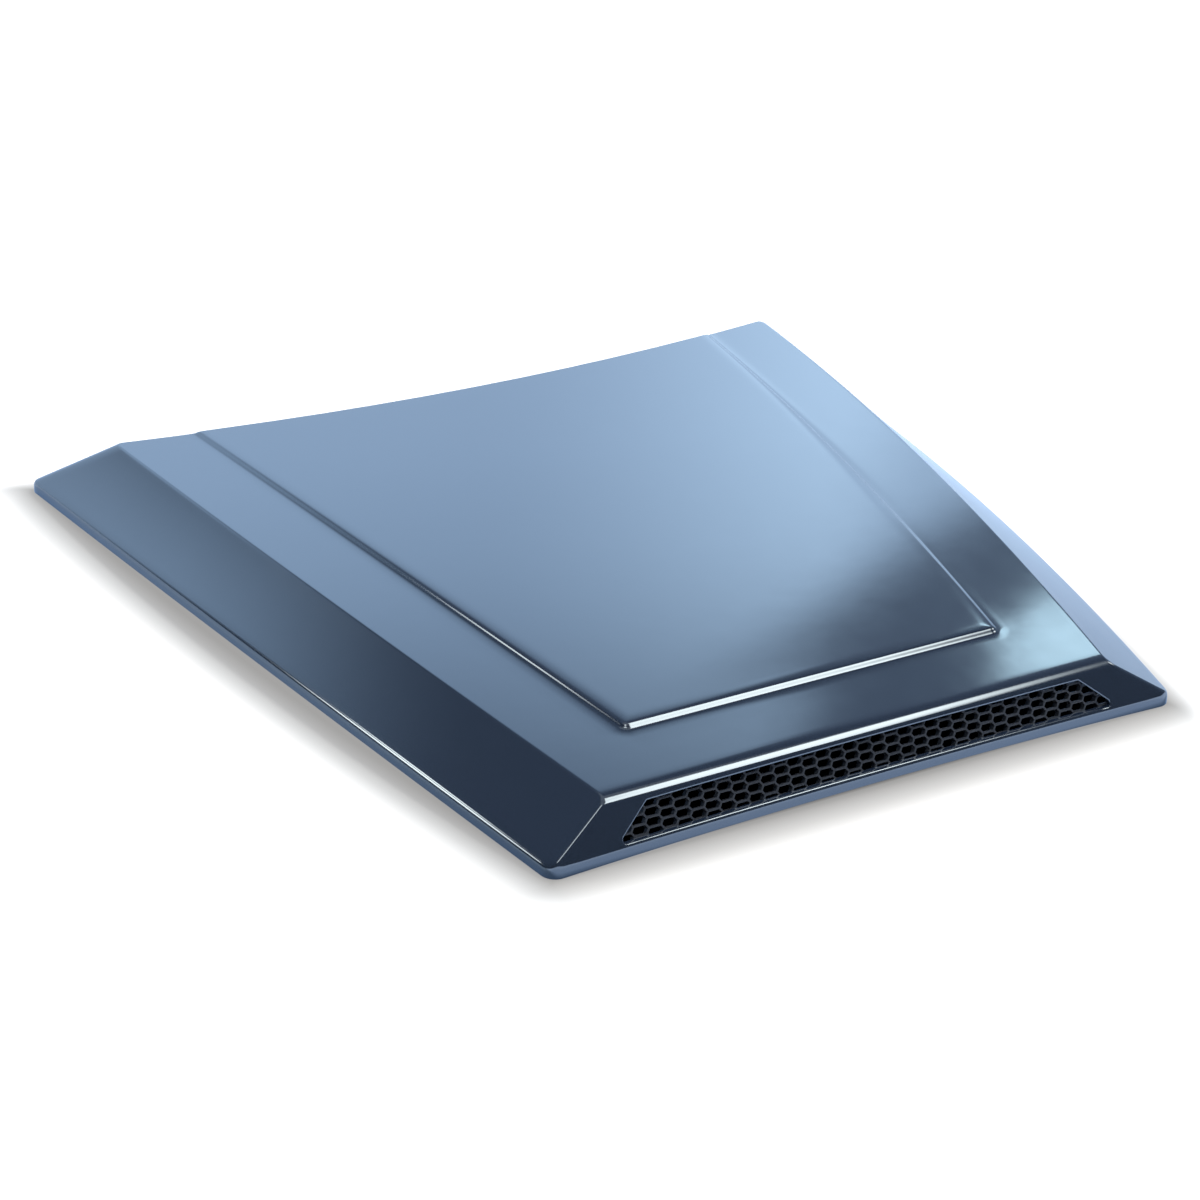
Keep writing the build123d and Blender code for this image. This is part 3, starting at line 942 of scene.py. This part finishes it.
class Finishes(Enum):
    """The part's two finishes."""

    GLOSS = Finish(
        name="blue_black_gloss", color=(0.012, 0.019, 0.036), color_two=(0.015, 0.023, 0.041),
        roughness=(0.085, 0.105), reflect=1.0, tint=(0.88, 0.97, 1.0), wave_scale=60.0, wave_depth=0.000012,
    )
    MESH = Finish(
        name="charcoal_mesh", color=(0.028, 0.031, 0.037), color_two=(0.036, 0.039, 0.046),
        roughness=(0.34, 0.44), reflect=0.5, tint=(1.0, 1.0, 1.0), wave_scale=700.0, wave_depth=0.00002,
    )


def way_to(bearing: float, height: float) -> Vector:
    """Direction at a bearing from +X and a height, in degrees."""
    az, el = math.radians(bearing), math.radians(height)
    return Vector((math.cos(el) * math.cos(az), math.cos(el) * math.sin(az), math.sin(el)))


@dataclass
class SoftDisc:
    """Round soft light, far off, so that it lights the floor and the part evenly."""

    name: str
    bearing: float
    height: float
    width: float
    radiance: float
    color: Color = (1.0, 1.0, 1.0)
    distance: float = 3.0

    def build(self) -> None:
        """Adds the light: bearing from +X, height and width in degrees."""
        way = way_to(self.bearing, self.height)
        data = bpy.data.lights.new(self.name, "SUN")
        data.angle = math.radians(self.width)
        data.energy = self.radiance * 2 * math.pi * (1 - math.cos(data.angle / 2))
        data.color = self.color
        lamp = bpy.data.objects.new(self.name, data)
        lamp.location = way * self.distance
        lamp.rotation_euler = way.to_track_quat("Z", "Y").to_euler()
        bpy.context.scene.collection.objects.link(lamp)


@dataclass
class SkyPatch:
    """Round soft box in the sky that fades from its full to its outer radius, in degrees."""

    bearing: float
    height: float
    full: float
    outer: float
    radiance: float
    color: Color = (0.97, 1.0, 1.0)

    def share(self, sh: Shader, way: Socket) -> Socket:
        """Adds the strength of the patch in each direction."""
        near = sh.dot(way, way_to(self.bearing, self.height))
        limits = math.cos(math.radians(self.outer)), math.cos(math.radians(self.full))
        return sh.ease(near, limits, 0.0, self.radiance)


@dataclass
class SkyStrip:
    """Long soft box in the sky, between two directions, with soft sides and ends."""

    start: Span
    stop: Span
    shift: float
    across: Span
    along: Span
    radiance: float
    color: Color = (0.97, 1.0, 1.0)
    ahead: Span = (0.0, 0.5)

    def share(self, sh: Shader, way: Socket) -> Socket:
        """Adds the strength of the strip in each direction, full along its middle."""
        first, last = way_to(*self.start), way_to(*self.stop)
        side = first.cross(last).normalized()
        middle = (first + last).normalized()
        wide = sh.math("ABSOLUTE", sh.math("SUBTRACT", sh.dot(way, side), self.shift))
        long = sh.math("ABSOLUTE", sh.dot(way, side.cross(middle)))
        share = sh.times(sh.ease(wide, self.across, 1.0, 0.0), sh.ease(long, self.along, 1.0, 0.0))
        return sh.times(share, sh.ramp(sh.dot(way, middle), *self.ahead, 0.0, self.radiance))


@dataclass
class Studio:
    """Pale floor, a sky-like glow behind and soft boxes."""

    floor_half: float = 30.0
    floor_drop: float = 0.0004
    floor_color: Color = (0.665, 0.63, 0.59)
    floor_glow: Color = (0.37, 0.365, 0.36)
    near_mirrored: Color = (0.34, 0.54, 0.94)
    far_mirrored: Color = (0.06, 0.30, 0.68)
    front_mirrored: Color = (1.10, 1.50, 2.35)
    # Painted shadow round the foot: spans in metres from the foot's outline over which the floor's colour
    # and camera glow fade in; lit_side narrows it on the right and at the rear.
    painted_shadow_span: Span = (-0.006, 0.034)
    lift: Span = (0.015, 0.065)
    painted_shadow_lift_most: float = 1.45
    # Painted shade under the shell: the floor turns black inside the foot's outline.
    under: Span = (-0.045, -0.02)
    front_edge: Span = (0.0, 0.006)
    under_shade_front_scale: float = 4.0
    lit_side: float = 1.8
    dim: Color = (0.12, 0.15, 0.20)
    glow: Color = (1.25, 1.76, 2.5)
    boost: Color = (1.4, 1.85, 2.25)
    glow_bearing: float = 45.0
    boost_aside: float = 65.0
    high_fade: Span = (0.48, 0.74)
    high_least: float = 0.06
    low_fade: Span = (0.2, 0.42)
    low_least: float = 0.66
    low_edge: Place = (0.496, -0.730, 0.471)
    low_edge_soft: Span = (-0.022, 0.022)
    low_edge_least: float = 0.14
    high_edge: Place = (0.8007, -0.599, 0.0)
    high_edge_soft: Span = (-0.018, 0.018)
    high_edge_from: Span = (0.55, 0.59)
    glow_from: Span = (-0.05, 0.3)
    boost_from: Span = (0.6, 0.8)
    boost_rise: Span = (0.08, 0.3)
    boost_fall: Span = (0.225, 0.27)
    boost_least: float = 0.35
    boxes: tuple[SkyPatch | SkyStrip, ...] = (
        SkyStrip((22.0, 61.0), (-50.0, 50.0), 0.012, (0.05, 0.135), (0.28, 0.38), 11.5),
        SkyPatch(145.0, 20.0, 4.0, 9.5, 12.0),
        SkyPatch(137.0, 35.0, 1.5, 6.0, 12.0),
        SkyPatch(-137.0, 71.0, 7.0, 13.0, 6.0),
    )
    discs: tuple[SoftDisc, ...] = (
        SoftDisc("fill_disc", 0.0, 38.0, 22.0, 8.0),
        SoftDisc("wide_disc", 40.0, 86.0, 60.0, 0.5, (0.96, 0.98, 1.0)),
        SoftDisc("patch_disc", 45.9, 33.5, 4.6, 6.1, (0.62, 0.86, 1.0)),
    )

    @staticmethod
    def foot_gaps(sh: Shader, foot: ScoopShell) -> tuple[Socket, ...]:
        """Adds the floor's distances from the foot's outline, in metres, which place the painted shadow and
        shade.

        Args:
            sh: Node tree of the floor.
            foot: The shell that stands on the floor.

        Returns:
            Distances left of the outline, right of it, before its front and behind its rear, each
            less than zero on the inner side.
        """
        place = sh.add("ShaderNodeTexCoord").outputs["Object"]
        axes = sh.add("ShaderNodeSeparateXYZ", {0: place}).outputs
        x, y = axes["X"], axes["Y"]
        bow = (foot.half_r + foot.half_f - 2 * foot.foot_mid) / (2 * foot.half_l ** 2 * MM)
        taper = (foot.half_r - foot.half_f) / foot.length
        slope = sh.math("ADD", sh.times(y, bow), taper)
        half = sh.math("ADD", sh.times(y, slope), foot.foot_mid * MM)
        right = sh.math("SUBTRACT", x, half)
        left = sh.math("SUBTRACT", sh.times(x, -1.0), half)
        before = sh.math("SUBTRACT", -foot.half_l * MM, y)
        hollow = foot.foot_rear_hollow / (foot.half_r ** 2 * MM)
        rear = sh.times(sh.times(x, x), hollow)
        rear = sh.math("ADD", rear, (foot.half_l - foot.foot_rear_hollow) * MM)
        return left, right, before, sh.math("SUBTRACT", y, rear)

    def build_floor(self, foot: ScoopShell) -> None:
        """Adds the floor, white to the camera, with painted shadow that darkens it close to the foot and
        painted shade that makes it dark under it.
        """
        bpy.ops.mesh.primitive_plane_add(size=2 * self.floor_half, location=(0.0, 0.0, -self.floor_drop))
        floor = bpy.context.active_object
        floor.name = "studio_floor"
        material = bpy.data.materials.new("studio_floor")
        material.use_nodes = True
        sh = Shader(material.node_tree)
        left, right, before, behind = self.foot_gaps(sh, foot)
        across = sh.math("MAXIMUM", left, sh.times(right, self.lit_side))
        along = sh.math("MAXIMUM", before, sh.times(behind, self.lit_side))
        outer = {n: sh.math("MAXIMUM", gap, 0.0) for n, gap in enumerate((across, along))}
        outer = sh.add("ShaderNodeCombineXYZ", outer).outputs[0]
        outer = sh.add("ShaderNodeVectorMath", {0: outer}, operation="LENGTH").outputs["Value"]
        inner = sh.math("MINIMUM", sh.math("MAXIMUM", across, along), 0.0)
        gap = sh.math("ADD", outer, inner)
        # Painted shadow: the floor's colour fades to black near the foot's outline, and its camera glow is
        # lifted away from it.
        painted_shadow_fade = sh.ramp(gap, *self.painted_shadow_span, 0.0, 1.0)
        lift = sh.ramp(gap, *self.lift, 1.0, self.painted_shadow_lift_most)
        # Painted shade: the floor's colour and glow go to black under the shell, also where it shows
        # through the slot.
        under_shade_edge = sh.math("MAXIMUM", sh.times(before, self.under_shade_front_scale), across)
        outside = sh.ramp(sh.math("MAXIMUM", under_shade_edge, behind), *self.under, 0.0, 1.0)
        color = sh.mix(sh.times(painted_shadow_fade, outside), (0.0, 0.0, 0.0), self.floor_color)
        path = sh.add("ShaderNodeLightPath")
        mirrored = sh.math("MAXIMUM", path.outputs["Is Glossy Ray"], path.outputs["Is Transmission Ray"])
        strength = sh.math("MAXIMUM", sh.times(path.outputs["Is Camera Ray"], lift), mirrored)
        glow = sh.mix(painted_shadow_fade, self.near_mirrored, self.far_mirrored)
        glow = sh.mix(sh.ramp(before, *self.front_edge, 0.0, 1.0), glow, self.front_mirrored)
        glow = sh.mix(mirrored, self.floor_glow, glow)
        shader = sh.add("ShaderNodeBsdfPrincipled", {
            "Base Color": color, "Roughness": 0.9, "Specular IOR Level": 0.1,
            "Emission Color": glow, "Emission Strength": sh.times(strength, outside),
        })
        sh.add("ShaderNodeOutputMaterial", {"Surface": shader.outputs[0]})
        floor.data.materials.append(material)

    def build_sky(self) -> None:
        """Sets the world: dim in front and above, with a glow behind that has a slanting soft edge.

        The camera itself sees a white world, so that no horizon shows in low views.
        """
        world = bpy.data.worlds.new("studio_world")
        bpy.context.scene.world = world
        world.use_nodes = True
        sh = Shader(world.node_tree)
        way = sh.add("ShaderNodeTexCoord").outputs["Generated"]
        up = sh.add("ShaderNodeSeparateXYZ", {0: way}).outputs["Z"]
        behind = sh.dot(way, way_to(self.glow_bearing, 0.0))
        right = sh.dot(way, way_to(self.glow_bearing - self.boost_aside, 0.0))
        high = sh.ease(up, self.high_fade, 1.0, self.high_least)
        band = sh.times(high, sh.ramp(up, *self.low_fade, self.low_least, 1.0))
        low_edge = sh.ease(sh.dot(way, self.low_edge), self.low_edge_soft, 1.0, self.low_edge_least)
        high_edge = sh.ease(sh.dot(way, self.high_edge), self.high_edge_soft, 1.0, 0.0)
        high_edge = sh.times(high_edge, sh.ease(up, self.high_edge_from, 0.0, 1.0))
        share = sh.times(band, sh.math("MAXIMUM", low_edge, high_edge))
        wide = sh.times(share, sh.ease(behind, self.glow_from, 0.0, 1.0))
        bright = sh.times(share, sh.ease(right, self.boost_rise, 0.0, 1.0))
        bright = sh.times(bright, sh.ease(right, self.boost_fall, 1.0, self.boost_least))
        bright = sh.times(bright, sh.ease(behind, self.boost_from, 0.0, 1.0))
        lights = [(self.dim, 1.0), (self.glow, wide), (self.boost, bright)]
        lights += [(box.color, box.share(sh, way)) for box in self.boxes]
        sky = None
        for color, strength in lights:
            part = sh.add("ShaderNodeBackground", {"Color": (*color, 1.0), "Strength": strength}).outputs[0]
            sky = part if sky is None else sh.add("ShaderNodeAddShader", {0: sky, 1: part}).outputs[0]
        seen = sh.add("ShaderNodeLightPath").outputs["Is Camera Ray"]
        white = sh.add("ShaderNodeBackground", {"Color": (1.0, 1.0, 1.0, 1.0), "Strength": 1.0}).outputs[0]
        sky = sh.add("ShaderNodeMixShader", {0: seen, 1: sky, 2: white}).outputs[0]
        sh.add("ShaderNodeOutputWorld", {"Surface": sky})

    def build(self, foot: ScoopShell) -> None:
        """Adds the floor under the shell, the world and the soft boxes."""
        self.build_floor(foot)
        self.build_sky()
        for disc in self.discs:
            disc.build()


def main() -> None:
    """Builds the scene."""
    logging.basicConfig(level=logging.INFO)
    bpy.context.scene.view_settings.view_transform = "Standard"
    PhotoCamera().build()
    scoop = ScoopShell()
    Studio().build(scoop)
    for maker in (scoop, GrilleMesh()):
        piece = maker.build()
        maker.dress(piece)
        log.info("%s: %d faces", piece.name, len(piece.data.polygons))


if __name__ == "__main__":
    main()
